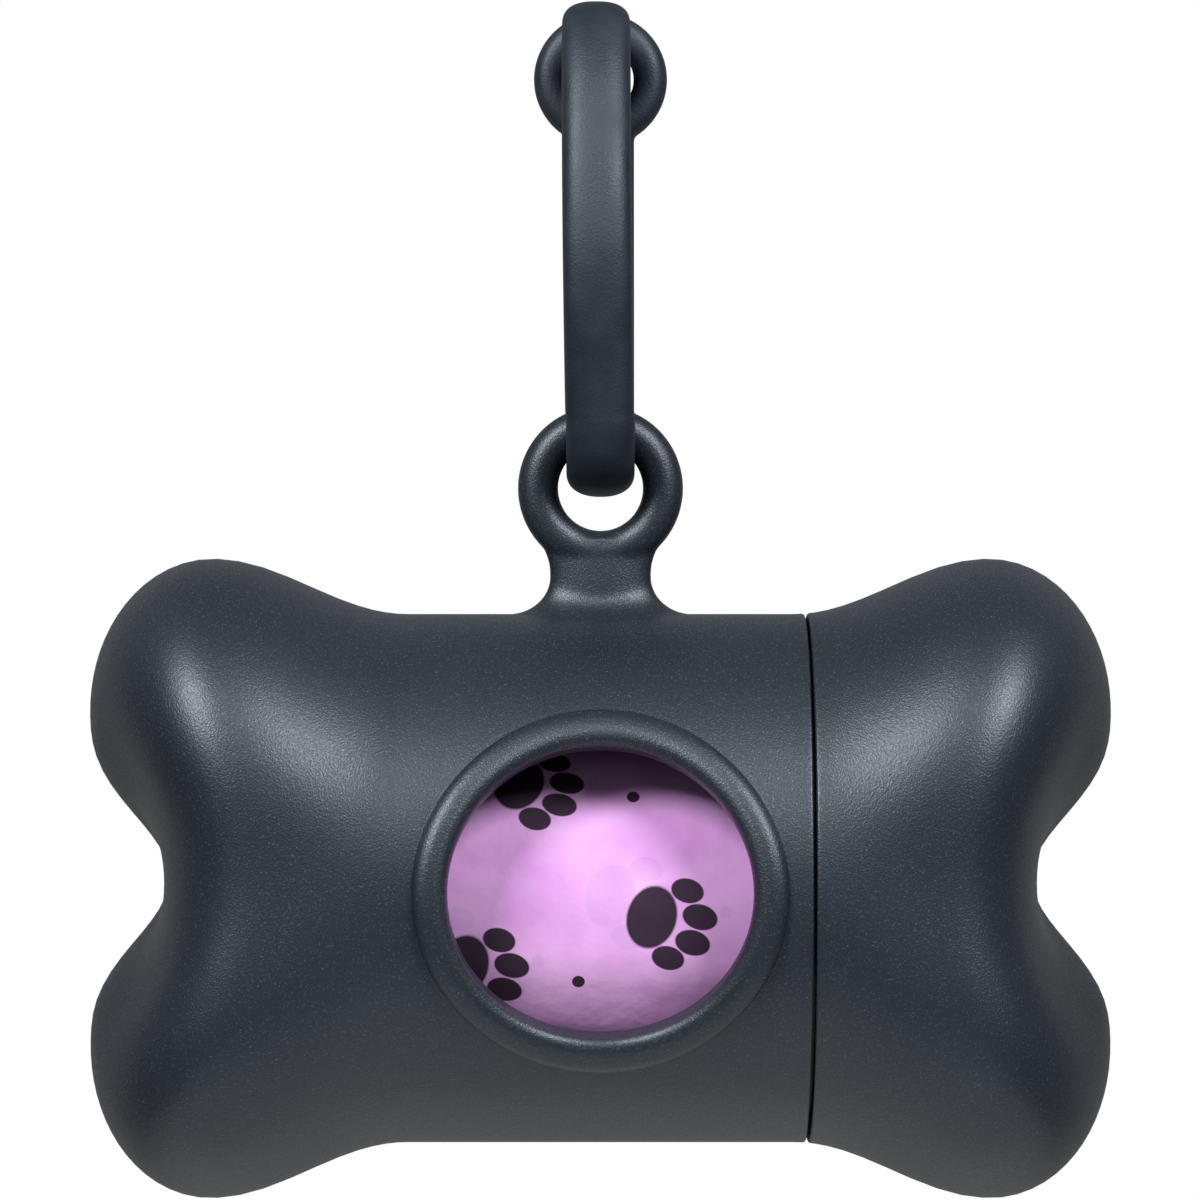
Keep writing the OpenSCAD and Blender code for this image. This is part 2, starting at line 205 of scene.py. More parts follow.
def settle(piece, height, body, material, angle=40):
    """Millimetres to metres, smooth shading, material, and the body that it belongs to."""
    piece.data.transform(Matrix.Translation((0, 0, height / 1000)) @ Matrix.Scale(0.001, 4))
    only(piece)
    bpy.ops.object.shade_smooth_by_angle(angle=math.radians(angle))
    piece.data.materials.clear()
    piece.data.materials.append(material)
    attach(piece, body)
    return piece


# ---------------------------------------------------------------- bone

def lobe_share(turn, u):
    """How much a point of the profile belongs to a lobe: rounder near the notch, fuller outside."""
    plain = np.sin(turn)[:, None] ** 2
    full = 1 - np.abs(np.cos(turn))[:, None] ** FULL_POWER
    return mix(plain, full, ease(np.clip((u - FULL_FROM) / (1 - FULL_FROM), 0, 1)))


def bone_profile(turn, inset):
    """Skin of half the bone as x and radius, from its notch to its waist, at angles round X."""
    u = np.linspace(0, 1, PROFILE_STEPS)
    share = lobe_share(turn, u)
    inner, outer = np.clip(2 * u, 0, 1), np.clip(2 * u - 1, 0, 1)
    rise = (1 - (1 - inner) ** END_RISE[0]) ** END_RISE[1]
    lobe_x = np.where(
        u < 0.5,
        mix(NOTCH_L / 2, BONE_L / 2, rise) - inset,
        mix(CREST_L / 2, BONE_L / 2 - inset, np.cos(outer * math.pi / 2)),
    )
    lobe_r = np.where(
        u < 0.5,
        TIP_R * inner,
        mix(TIP_R, LOBE_R - inset, np.sin(outer * math.pi / 2)),
    )
    side_bow = np.clip(np.cos(u * math.pi / 2), 0, 1) ** SIDE_POWER
    side_x = mix(SIDE_L / 2, NOTCH_L / 2 - inset, side_bow)
    side_r = (BARREL_R - inset) * np.sin(u * math.pi / 2) ** SIDE_POWER
    # beyond the crests the lobes run down to the barrel
    v = np.linspace(0, 1, FLANK_STEPS)[1:]
    full = lobe_share(turn, np.ones(1))
    flank_x = mix(mix(SIDE_L / 2, CREST_L / 2, full), WAIST_L / 2, v)
    flank_r = BARREL_R - inset + (LOBE_R - BARREL_R) * full * (1 + np.cos(v * math.pi)) / 2
    return (
        np.hstack([mix(side_x, lobe_x, share), flank_x]),
        np.hstack([mix(side_r, lobe_r, share), flank_r]),
    )


def on_bone(rays, inset):
    """Where rays from the bone's middle meet its skin, drawn in by inset."""
    out = np.empty_like(rays)
    for first in range(0, len(rays), RAYS_AT_ONCE):
        ray = rays[first:first + RAYS_AT_ONCE]
        along, across = np.abs(ray[:, 0]), np.hypot(ray[:, 1], ray[:, 2])
        x, r = bone_profile(np.arctan2(ray[:, 2], ray[:, 1]), inset)
        side = across[:, None] * x - along[:, None] * r
        at = np.clip((side > 0).sum(1), 1, x.shape[1] - 1)
        row = np.arange(len(ray))
        before, after = side[row, at - 1], side[row, at]
        share = np.clip(before / np.where(before == after, 1, before - after), 0, 1)
        reach_x = mix(x[row, at - 1], x[row, at], share)
        reach_r = mix(r[row, at - 1], r[row, at], share)
        straight = across * WAIST_L / 2 >= along * (BARREL_R - inset)
        length = np.where(
            straight,
            (BARREL_R - inset) / np.maximum(across, 1e-9),
            np.hypot(reach_x, reach_r),
        )
        out[first:first + RAYS_AT_ONCE] = ray * length[:, None]
    return out


def on_barrel(rho, rise, theta):
    """A point beside the window: rho from the window's middle, rise over the barrel."""
    x, z = rho * np.cos(theta), rho * WINDOW_LOW * np.sin(theta)
    tilt = np.arcsin(np.clip(z / BARREL_R, -1, 1))
    lean = 1.0 if rise > 0 else HOLE_LEAN
    y = -BARREL_R * np.cos(tilt) - rise * np.cos(tilt)
    return np.stack([x, y, z + lean * rise * np.sin(tilt)], 1)


def rim_steps():
    """The window's edge from the inside of the wall, over the rim and its crease, to the barrel."""
    middle, half = (WINDOW_R + RIM_R) / 2, (RIM_R - WINDOW_R) / 2
    steps = [(WINDOW_R, -depth) for depth in HOLE_DEPTHS]
    for angle in np.linspace(180, 12, RIM_STEPS):
        a = math.radians(angle)
        steps.append((
            middle + half * math.copysign(abs(math.cos(a)) ** RIM_POWER, math.cos(a)),
            -RIM_SUNK + (RIM_RISE + RIM_SUNK) * math.sin(a) ** RIM_POWER,
        ))
    return steps + [(RIM_R + beyond, rise) for beyond, rise in RIM_CREASE]


def bone_skin(name, inset, steps, count):
    """One skin of the bone: a ball with a pole in the window and one behind, open at the window."""
    theta = ring_turns(AROUND)
    rings = [on_barrel(WINDOW_R * 0.5, 0, theta)]
    rings += [on_barrel(rho, rise, theta) for rho, rise in steps]
    edge = rings[-1]
    start = np.arccos(-edge[:, 1] / np.linalg.norm(edge, axis=1))
    turn = np.arctan2(edge[:, 2], edge[:, 0])
    for k in range(1, count):
        share = k / count
        share = mix(share, share ** 2, RINGS_CLOSER)
        alpha = mix(start, math.pi, share)
        away = np.sin(alpha)
        rays = np.stack([away * np.cos(turn), -np.cos(alpha), away * np.sin(turn)], 1)
        rings.append(on_bone(rays, inset))
    back = (0, BARREL_R - inset, 0)
    piece, ring = pull_ball(name, np.array(rings), (0, -BARREL_R, 0), back)
    # the pole in front and the ring round it only fill the hole
    pick(piece, ring <= 1)
    bpy.ops.mesh.delete(type="VERT")
    bpy.ops.object.mode_set(mode="OBJECT")
    return piece


def slice_at(x, clear_right=False, clear_left=False):
    """Cuts the open piece across at x, and clears one side of the cut if asked."""
    bpy.ops.mesh.select_all(action="SELECT")
    bpy.ops.mesh.bisect(
        plane_co=(x, 0, 0), plane_no=(1, 0, 0), threshold=1e-6,
        clear_outer=clear_right, clear_inner=clear_left,
    )


def cut_at_seam(piece, keep):
    """Keeps the long part (-1) or the cap (1), rounds its outer edge and closes the wall there."""
    only(piece)
    edge_x = SEAM_X + keep * SEAM_GAP
    bpy.ops.object.mode_set(mode="EDIT")
    for back in SEAM_CUTS:
        slice_at(edge_x + keep * SEAM_ROUND * back)
    slice_at(edge_x, clear_right=keep < 0, clear_left=keep > 0)
    bpy.ops.mesh.select_all(action="DESELECT")
    bpy.ops.mesh.select_mode(type="EDGE")
    bpy.ops.mesh.select_non_manifold(
        extend=False, use_wire=False, use_boundary=True,
        use_multi_face=False, use_non_contiguous=False, use_verts=False,
    )
    bpy.ops.mesh.bridge_edge_loops()
    bpy.ops.object.mode_set(mode="OBJECT")
    points = points_of(piece)
    radius = np.hypot(points[:, 1], points[:, 2])
    back = np.clip(np.abs(points[:, 0] - edge_x) / SEAM_ROUND, 0, 1)
    near = (back < 1) & (radius > BARREL_R - SEAM_DEPTH)
    inset = SEAM_ROUND * (1 - np.sqrt(np.clip(1 - (1 - back) ** 2, 0, 1)))
    points[near, 1:] *= (1 - inset / radius)[near, None]
    move_points(piece, points)
    return piece


def make_bone():
    """The hollow bone with its window, parted at the seam into the long part and the cap."""
    outer = bone_skin("outer_skin", 0, rim_steps(), OUTER_RINGS)
    inside = [(rho, -SHELL_WALL) for rho in (WINDOW_R, WINDOW_R + 1, RIM_R + RIM_CREASE[-1][0])]
    inner = bone_skin("inner_skin", SHELL_WALL, inside, INNER_RINGS)
    only(inner)
    bpy.ops.object.mode_set(mode="EDIT")
    bpy.ops.mesh.select_all(action="SELECT")
    bpy.ops.mesh.flip_normals()
    bpy.ops.object.mode_set(mode="OBJECT")
    long_part = join("long_part", outer, inner)
    bpy.ops.object.mode_set(mode="EDIT")
    bpy.ops.mesh.select_all(action="SELECT")
    bpy.ops.mesh.remove_doubles(threshold=1e-4)
    bpy.ops.object.mode_set(mode="OBJECT")
    cap = long_part.copy()
    cap.data = long_part.data.copy()
    cap.name = cap.data.name = "cap_end"
    bpy.context.scene.collection.objects.link(cap)
    return cut_at_seam(long_part, -1), cut_at_seam(cap, 1)


# ---------------------------------------------------------------- lug

def barrel_top(y):
    """Height of the barrel's skin, y in front of or behind its middle."""
    return np.sqrt(np.maximum(BARREL_R ** 2 - y * y, 0))


def foot_size(sin):
    """Width and height of the foot's fillet; sin is 0 beside the neck and 1 in front of it."""
    share = np.clip(sin * sin, 0, 1)
    return mix(FOOT_SIDE[0], FOOT_FRONT[0], share), mix(FOOT_SIDE[1], FOOT_FRONT[1], share)


def neck_rings():
    """Rings of the lug's neck, from its root in the barrel up to the bar of the ring."""
    turn = ring_turns(NECK_SIDES)
    cos, sin = np.cos(turn), np.sin(turn)
    foot_w, foot_h = foot_size(sin)
    rings = []
    # the fillet's quarter circle, from the barrel up to the neck
    for k in range(FOOT_STEPS + 1):
        a = math.radians(90 - 90 // FOOT_STEPS * k)
        out = foot_w * (1 - math.cos(a))
        x, y = (NECK_HALF + out) * cos, (NECK_THICK + out) * sin
        height = barrel_top(y) + foot_h * (1 - math.sin(a))
        if k == 0:
            rings.append(np.stack([x, y, height - NECK_ROOT], 1))
        rings.append(np.stack([x, y, height - FOOT_SINK], 1))
    low, high = BARREL_R + foot_h, LUG_Z - HOLE_R - NECK_DROP
    for q in np.linspace(0, 1, NECK_STEPS + 1)[1:]:
        half = mix(NECK_HALF, NECK_TOP_HALF, q ** NECK_FLARE)
        thick = mix(NECK_THICK, NECK_TOP_THICK, q ** NECK_THIN)
        x, y = half * cos, thick * sin
        z = mix(low, high, q) - (BARREL_R - barrel_top(y)) * (1 - q)
        rings.append(np.stack([x, y, z], 1))
    return np.array(rings), high


def set_fillet(lug):
    """Sets the foot of the melted lug back on its exact curve, so that it runs into the barrel."""
    points = points_of(lug)
    x, y = np.abs(points[:, 0]), np.abs(points[:, 1])
    # how far each point is outside the neck's oval, found by halving
    low_out, high_out = np.full(len(x), -1.5), np.full(len(x), 8.0)
    for _ in range(40):
        out = (low_out + high_out) / 2
        outside = (x / (NECK_HALF + out)) ** 2 + (y / (NECK_THICK + out)) ** 2 > 1
        low_out = np.where(outside, out, low_out)
        high_out = np.where(outside, high_out, out)
    rise = points[:, 2] - barrel_top(points[:, 1])
    foot_w, foot_h = foot_size(y / (NECK_THICK + out))
    away_x, away_z = (out - foot_w) / foot_w, (rise - foot_h) / foot_h
    length = np.maximum(np.hypot(away_x, away_z), 1e-6)
    # only the foot is held, and it lets go softly towards the neck
    hold = np.clip((foot_h * FILLET_HIGH - rise) / FILLET_SOFT, 0, 1)
    hold = ease(hold * (rise > -FILLET_SOFT) * (out < foot_w * FILLET_WIDE))
    new_out = mix(out, foot_w + foot_w * away_x / length, hold)
    new_rise = mix(rise, foot_h + foot_h * away_z / length - FILLET_SINK, hold)
    cos, sin = x / (NECK_HALF + out), y / (NECK_THICK + out)
    new_x, new_y = (NECK_HALF + new_out) * cos, (NECK_THICK + new_out) * sin
    points[:, 0] = np.sign(points[:, 0]) * new_x
    points[:, 1] = np.sign(points[:, 1]) * new_y
    points[:, 2] = barrel_top(points[:, 1]) + new_rise
    move_points(lug, points)


def make_lug():
    """Neck with a filleted foot and a ring on it, melted into one and smoothed."""
    rings, high = neck_rings()
    neck, _ = pull_ball("neck", rings, (0, 0, BARREL_R - 1.4), (0, 0, high))
    faces_out(neck)
    bpy.ops.object.select_all(action="DESELECT")
    bpy.ops.mesh.primitive_torus_add(major_radius=RING_R, minor_radius=BAR_R, **RING_FINENESS)
    ring = new_piece("ring")
    points = points_of(ring)
    move_points(ring, np.stack([points[:, 0], -points[:, 2], points[:, 1] + LUG_Z], 1))
    lug = join("lug", neck, ring)
    finish_with(lug, "REMESH", mode="VOXEL", voxel_size=LUG_VOXEL)
    finish_with(lug, "SMOOTH", factor=0.5, iterations=LUG_SMOOTHING)
    set_fillet(lug)
    return lug


# ---------------------------------------------------------------- strap

# width and thickness, half the depth of the loop and its height outside
STRAP_W, STRAP_T, LOOP_Y, LOOP_H = 5.5, 3.9, 8.2, 39.8
# height and squareness of the arch at the top, radius and half turn of the bend at the bottom
CROWN_H, CROWN_POWER, BEND_R, BEND_TURN = 18, 1.7, 5.5, math.radians(80)
# how long the long sides stay upright at the top and follow the bend at the bottom
RUN_TOP, RUN_LOW = 0.4, 0.35
# eyelet: outer and inner diameter, thickness, and how far its middle is under the top
EYE_D, EYE_HOLE, EYE_T, EYE_DROP = 10.9, 5.4, 3.6, 5.65
# the tongue that goes through the eyelet, the toggle on its end, and the sweep from it to the arch
TONGUE_D, TOGGLE_L, HOOK_NEAR, HOOK_FAR = 4.2, 8.4, 3.4, 3.2
# how far the strap's front leans to the left
LEAN = 0.35
# how full the eyelet's section is, across and along its hole: under 1 is fuller than round
EYE_FULL_ACROSS, EYE_FULL_DEEP = 0.88, 0.8
# the gap that is left where the strap bears on the lug and where the toggle stands off the eyelet
PLAY = 0.2
# squareness of the strap's section: 2 is an oval, more is squarer
ROUND, TURN_SQUARE, FRONT_SQUARE, BACK_SQUARE, BEND_SQUARE = 2, 2.6, 2.9, 2.8, 2.3

STRAP_LOW = HOLE_R - PLAY - STRAP_T / 2
CROWN_Z = STRAP_LOW + LOOP_H - STRAP_T
EYE_Z = CROWN_Z + STRAP_T / 2 - EYE_DROP
EYE_BAR = (EYE_D - EYE_HOLE) / 4
BEND_Z = STRAP_LOW + BEND_R
TOGGLE_Y = LOOP_Y + EYE_T / 2 + PLAY + TONGUE_D / 2


def bezier(p, k):
    """Points at shares k of the curve with four control points."""
    p, k = np.array(p, float), np.asarray(k)[:, None]
    near = (1 - k) ** 3 * p[0] + 3 * (1 - k) ** 2 * k * p[1]
    return near + 3 * (1 - k) * k * k * p[2] + k ** 3 * p[3]


def strap_way():
    """The strap's middle line, toggle to eyelet: x, y, z, width, thickness, squareness."""
    bend_end = np.array([BEND_R * math.sin(BEND_TURN), BEND_Z - BEND_R * math.cos(BEND_TURN)])
    onward = np.array([math.cos(BEND_TURN), math.sin(BEND_TURN)])

    def run(top, k):
        return bezier([
            (LOOP_Y, top),
            (LOOP_Y, mix(top, bend_end[1], RUN_TOP)),
            bend_end + onward * (top - bend_end[1]) * RUN_LOW,
            bend_end,
        ], k)

    def lean(z):
        up = np.clip((z - STRAP_LOW) / (CROWN_Z - STRAP_LOW), 0, 1)
        return -LEAN * np.sin(up * math.pi / 2)

    def rows(x, yz, width, thickness, square):
        one = np.ones(len(yz))
        return np.stack([
            x * one, yz[:, 0], yz[:, 1], width * one, thickness * one, square * one,
        ], 1)

    k = np.linspace(0, 1, 12)
    tongue = np.stack([mix(TOGGLE_Y, LOOP_Y, k), EYE_Z + 0 * k], 1)
    tongue = rows(0, tongue, TONGUE_D, TONGUE_D, ROUND)

    k = np.linspace(0, 1, 34)
    front_y = LOOP_Y - EYE_T / 2 - 0.4
    hook = bezier([
        (front_y, EYE_Z), (front_y - HOOK_NEAR, EYE_Z), (HOOK_FAR, CROWN_Z), (0, CROWN_Z),
    ], k)
    width, thickness = mix(TONGUE_D, STRAP_W, k), mix(TONGUE_D, STRAP_T, k)
    hook = rows(-LEAN * k, hook, width, thickness, mix(ROUND, TURN_SQUARE, k))[:-1]

    a = np.radians(np.linspace(90, 180, 60))
    top = CROWN_Z - CROWN_H
    crown = np.stack([
        -LOOP_Y * np.abs(np.cos(a)) ** (2 / CROWN_POWER),
        top + CROWN_H * np.abs(np.sin(a)) ** (2 / CROWN_POWER),
    ], 1)
    square = np.linspace(TURN_SQUARE, FRONT_SQUARE, 60)
    crown = rows(lean(crown[:, 1]), crown, STRAP_W, STRAP_T, square)

    k = np.linspace(0, 1, 80)[1:-1]
    front = run(top, k) * [-1, 1]
    square = mix(FRONT_SQUARE, BEND_SQUARE, np.clip((k - 0.7) / 0.3, 0, 1))
    front = rows(lean(front[:, 1]), front, STRAP_W, STRAP_T, square)

    a = np.radians(np.linspace(-80, 80, 50))
    bend = np.stack([BEND_R * np.sin(a), BEND_Z - BEND_R * np.cos(a)], 1)
    bend = rows(0, bend, STRAP_W, STRAP_T, BEND_SQUARE)

    k = np.linspace(1, 0, 70)[1:]
    square = mix(BACK_SQUARE, BEND_SQUARE, np.clip((k - 0.6) / 0.4, 0, 1))
    back = run(EYE_Z - EYE_D / 2 + EYE_BAR, k)
    back = rows(0, back, STRAP_W, mix(EYE_T, STRAP_T, k), square)
    return np.vstack([tongue, hook, crown, front, bend, back])


def make_band():
    """The strap's band, drawn along its middle line."""
    way = strap_way()
    step = np.gradient(way[:, 1:3], axis=0)
    step /= np.linalg.norm(step, axis=1)[:, None]
    out = np.stack([step[:, 1], -step[:, 0]], 1)
    turn = ring_turns(STRAP_SIDES)
    c, s = np.cos(turn), np.sin(turn)
    rings = []
    for (x, y, z, width, thickness, square), side in zip(way, out):
        across = width / 2 * np.sign(c) * np.abs(c) ** (2 / square)
        up = thickness / 2 * np.sign(s) * np.abs(s) ** (2 / square)
        rings.append(np.stack([x + across, y + side[0] * up, z + side[1] * up], 1))
    band, _ = pull_ball("band", np.array(rings), way[0, :3], way[-1, :3])
    faces_out(band)
    return band


def make_eye():
    """The eyelet, a ring with a flattened section."""
    bpy.ops.object.select_all(action="DESELECT")
    # a bar of radius 1, whose section is then read off as cosine and sine
    big = 10
    bpy.ops.mesh.primitive_torus_add(major_radius=big, minor_radius=1, **RING_FINENESS)
    eye = new_piece("eye")
    points = points_of(eye)
    around = np.arctan2(points[:, 1], points[:, 0])
    c, s = np.hypot(points[:, 0], points[:, 1]) - big, points[:, 2]
    radius = EYE_HOLE / 2 + EYE_BAR + EYE_BAR * np.sign(c) * np.abs(c) ** EYE_FULL_ACROSS
    depth = EYE_T / 2 * np.sign(s) * np.abs(s) ** EYE_FULL_DEEP
    x, z = radius * np.cos(around), EYE_Z + radius * np.sin(around)
    move_points(eye, np.stack([x, LOOP_Y - depth, z], 1))
    faces_out(eye)
    return eye


def make_toggle():
    """The upright toggle behind the eyelet, with round ends."""
    bpy.ops.object.select_all(action="DESELECT")
    bpy.ops.mesh.primitive_uv_sphere_add(segments=48, ring_count=32, radius=TONGUE_D / 2)
    toggle = new_piece("toggle")
    points = points_of(toggle)
    points[:, 2] += np.sign(np.round(points[:, 2], 4)) * (TOGGLE_L - TONGUE_D) / 2 + EYE_Z
    points[:, 1] += TOGGLE_Y
    move_points(toggle, points)
    return toggle


def make_strap():
    """Band, eyelet and toggle, melted into one and smoothed."""
    strap = join("silicone_strap", make_band(), make_eye(), make_toggle())
    finish_with(strap, "REMESH", mode="VOXEL", voxel_size=STRAP_VOXEL)
    finish_with(strap, "SMOOTH", factor=0.5, iterations=STRAP_SMOOTHING)
    return strap


# ---------------------------------------------------------------- roll of bags

ROLL_R, ROLL_L, CORE_R = 15.5, 58, 7.5
# layers that can be told apart on the roll's ends, how deep the deepest of them lies, and how
# deep the first and the last lie
LAYERS, LAYER_DEPTH, EDGE_DEPTH = 44, 0.22, 0.25
# the loose bag: how far it goes round the roll, its distance from it, the thickness that it is
# drawn with, which is more than the real film's, and its size laid flat
WRAP, LOOSE, FILM_T, BAG_FLAT = math.radians(336), 0.18, 0.06, (92, 58)


def make_roll():
    """Wound film as one solid tube: its ends show the edges of the layers, some standing proud."""
    chance = np.random.default_rng(5)
    radii = np.repeat(np.linspace(CORE_R + 0.05, ROLL_R, LAYERS + 1), 2)[1:-1]
    depth = np.repeat(chance.uniform(0.0, LAYER_DEPTH, LAYERS), 2)
    depth[0] = depth[-1] = EDGE_DEPTH
    outline = [(ROLL_L / 2 - d, r) for d, r in zip(depth, radii)]
    outline += [(-x, r) for x, r in reversed(outline)]
    bpy.ops.object.select_all(action="DESELECT")
    bpy.ops.mesh.primitive_circle_add(vertices=len(outline), radius=1)
    roll = new_piece("wound_bags")
    move_points(roll, np.array([(x, 0, r) for x, r in outline]))
    bpy.ops.object.mode_set(mode="EDIT")
    bpy.ops.mesh.select_all(action="SELECT")
    bpy.ops.mesh.spin(steps=160, angle=2 * math.pi, center=(0, 0, 0), axis=(1, 0, 0))
    bpy.ops.object.mode_set(mode="OBJECT")
    faces_out(roll)
    return roll


def make_loose_bag():
    """Outermost bag: film that lies loosely round the roll, open along the top."""
    bpy.ops.object.select_all(action="DESELECT")
    bpy.ops.mesh.primitive_grid_add(x_subdivisions=300, y_subdivisions=150, size=1, calc_uvs=True)
    bag = new_piece("loose_bag")
    points = points_of(bag)
    beta = math.pi + points[:, 0] * WRAP
    x = points[:, 1] * ROLL_L
    # soft creases along the roll, and a few across it
    ripple = 0.05 * np.sin(7 * beta + 0.09 * x) + 0.035 * np.sin(17 * beta - 0.05 * x + 1.3)
    ripple += 0.03 * np.sin(0.33 * x + 2 * beta) * np.sin(3 * beta + 0.6)
    radius = ROLL_R + LOOSE + ripple
    move_points(bag, np.stack([x, -radius * np.sin(beta), radius * np.cos(beta)], 1))
    finish_with(bag, "SOLIDIFY", thickness=FILM_T, offset=0)
    return bag


# ---------------------------------------------------------------- materials
# A Noise node's Scale counts cells in a metre, so 1000 / Scale is the size of a cell in
# millimetres. Most grains are drawn coarser than the real ones, so that they show.

def add(tree, kind, links=None, **settings):
    """One node: its settings, then its inputs, each linked from a socket or set to a value."""
    made = tree.nodes.new(kind)
    for key, value in settings.items():
        setattr(made, key, value)
    for key, value in (links or {}).items():
        if isinstance(value, bpy.types.NodeSocket):
            tree.links.new(value, made.inputs[key])
        else:
            made.inputs[key].default_value = value
    return made


def empty_material(name):
    material = bpy.data.materials.new(name)
    material.use_nodes = True
    material.node_tree.nodes.clear()
    return material, material.node_tree


def soft_touch_shell():
    # ABS with a soft-touch coat: dark slate, matte, with a fine speckle that glints in the light
    material, tree = empty_material("Soft-touch coated ABS, slate")
    place = add(tree, "ShaderNodeTexCoord").outputs["Object"]
    # grain of the coat, 0.16 mm
    grain = add(tree, "ShaderNodeTexNoise", {
        "Vector": place, "Scale": 6200, "Detail": 2.0, "Roughness": 0.6,
    })
    # slow change of shade over the moulding, 14 mm
    drift = add(tree, "ShaderNodeTexNoise", {"Vector": place, "Scale": 70, "Detail": 2.0})
    shade = add(tree, "ShaderNodeValToRGB", {"Fac": drift.outputs["Fac"]})
    for stop, at, tone in zip(shade.color_ramp.elements, (0.3, 0.7), ("#10151c", "#151b23")):
        stop.position, stop.color = at, linear(tone)
    speck = add(tree, "ShaderNodeMapRange", {
        "Value": grain.outputs["Fac"], "From Min": 0.58, "From Max": 0.75, "To Min": 0.0,
        "To Max": 0.45,
    })
    colour = add(tree, "ShaderNodeMix", {
        0: speck.outputs["Result"], 6: shade.outputs["Color"], 7: linear("#575e64"),
    }, data_type="RGBA")
    rough = add(tree, "ShaderNodeMapRange", {
        "Value": grain.outputs["Fac"], "From Min": 0.3, "From Max": 0.7, "To Min": 0.49,
        "To Max": 0.35,
    })
    relief = add(tree, "ShaderNodeBump", {
        "Height": grain.outputs["Fac"], "Strength": 0.8, "Distance": 0.00005,
    })
    shader = add(tree, "ShaderNodeBsdfPrincipled", {
        "Base Color": colour.outputs[2], "Roughness": rough.outputs["Result"],
        "Normal": relief.outputs["Normal"], "IOR": 1.55, "Specular Tint": (0.80, 0.89, 1.0, 1),
    })
    add(tree, "ShaderNodeOutputMaterial", {"Surface": shader.outputs["BSDF"]})
    return material


def satin_sleeve():
    # bare moulded ABS: a slate like the shell's, without its grain, with faint marks along it
    material, tree = empty_material("Moulded ABS, satin")
    place = add(tree, "ShaderNodeTexCoord").outputs["Object"]
    along = add(tree, "ShaderNodeMapping", {"Vector": place, "Scale": (0.04, 1.0, 1.0)})
    # marks 0.33 mm across, drawn out 25 times along the sleeve
    marks = add(tree, "ShaderNodeTexNoise", {
        "Vector": along.outputs["Vector"], "Scale": 3000, "Detail": 3.0,
    })
    shade = add(tree, "ShaderNodeValToRGB", {"Fac": marks.outputs["Fac"]})
    for stop, tone in zip(shade.color_ramp.elements, ("#171c23", "#1f252d")):
        stop.color = linear(tone)
    rough = add(tree, "ShaderNodeMapRange", {
        "Value": marks.outputs["Fac"], "To Min": 0.38, "To Max": 0.5,
    })
    relief = add(tree, "ShaderNodeBump", {
        "Height": marks.outputs["Fac"], "Strength": 0.3, "Distance": 0.00003,
    })
    shader = add(tree, "ShaderNodeBsdfPrincipled", {
        "Base Color": shade.outputs["Color"], "Roughness": rough.outputs["Result"],
        "Normal": relief.outputs["Normal"], "IOR": 1.53,
    })
    add(tree, "ShaderNodeOutputMaterial", {"Surface": shader.outputs["BSDF"]})
    return material


def silicone_band():
    # moulded silicone rubber: near-black slate, matte and fine-grained, duller in faint patches
    material, tree = empty_material("Moulded silicone rubber, matte")
    place = add(tree, "ShaderNodeTexCoord").outputs["Object"]
    # grain of the mould, 0.19 mm
    grain = add(tree, "ShaderNodeTexNoise", {
        "Vector": place, "Scale": 5400, "Detail": 3.0, "Roughness": 0.65,
    })
    # duller patches, 4 mm
    cloud = add(tree, "ShaderNodeTexNoise", {"Vector": place, "Scale": 260, "Detail": 3.0})
    shade = add(tree, "ShaderNodeValToRGB", {"Fac": cloud.outputs["Fac"]})
    for stop, at, tone in zip(shade.color_ramp.elements, (0.3, 0.7), ("#11161e", "#181e27")):
        stop.position, stop.color = at, linear(tone)
    rough = add(tree, "ShaderNodeMapRange", {
        "Value": cloud.outputs["Fac"], "From Min": 0.3, "From Max": 0.7, "To Min": 0.45,
        "To Max": 0.6,
    })
    relief = add(tree, "ShaderNodeBump", {
        "Height": grain.outputs["Fac"], "Strength": 0.8, "Distance": 0.00005,
    })
    shader = add(tree, "ShaderNodeBsdfPrincipled", {
        "Base Color": shade.outputs["Color"], "Roughness": rough.outputs["Result"],
        "Normal": relief.outputs["Normal"], "IOR": 1.5, "Specular Tint": (0.80, 0.89, 1.0, 1),
    })
    add(tree, "ShaderNodeOutputMaterial", {"Surface": shader.outputs["BSDF"]})
    return material


# the print on the film: size of its tile, and each pad and dot in it as place and half size
PRINT_TILE = (15.5, 13.0)
PRINT_SHAPES = (
    ((0, -1.25), (2.5, 1.95)),
    ((-2.75, 0.85), (0.95, 1.3)),
    ((-1.05, 2.35), (1.0, 1.4)),
    ((1.05, 2.35), (1.0, 1.4)),
    ((2.75, 0.85), (0.95, 1.3)),
    ((PRINT_TILE[0] / 2 - 1.2, -PRINT_TILE[1] / 2 + 1.2), (0.5, 0.5)),
)


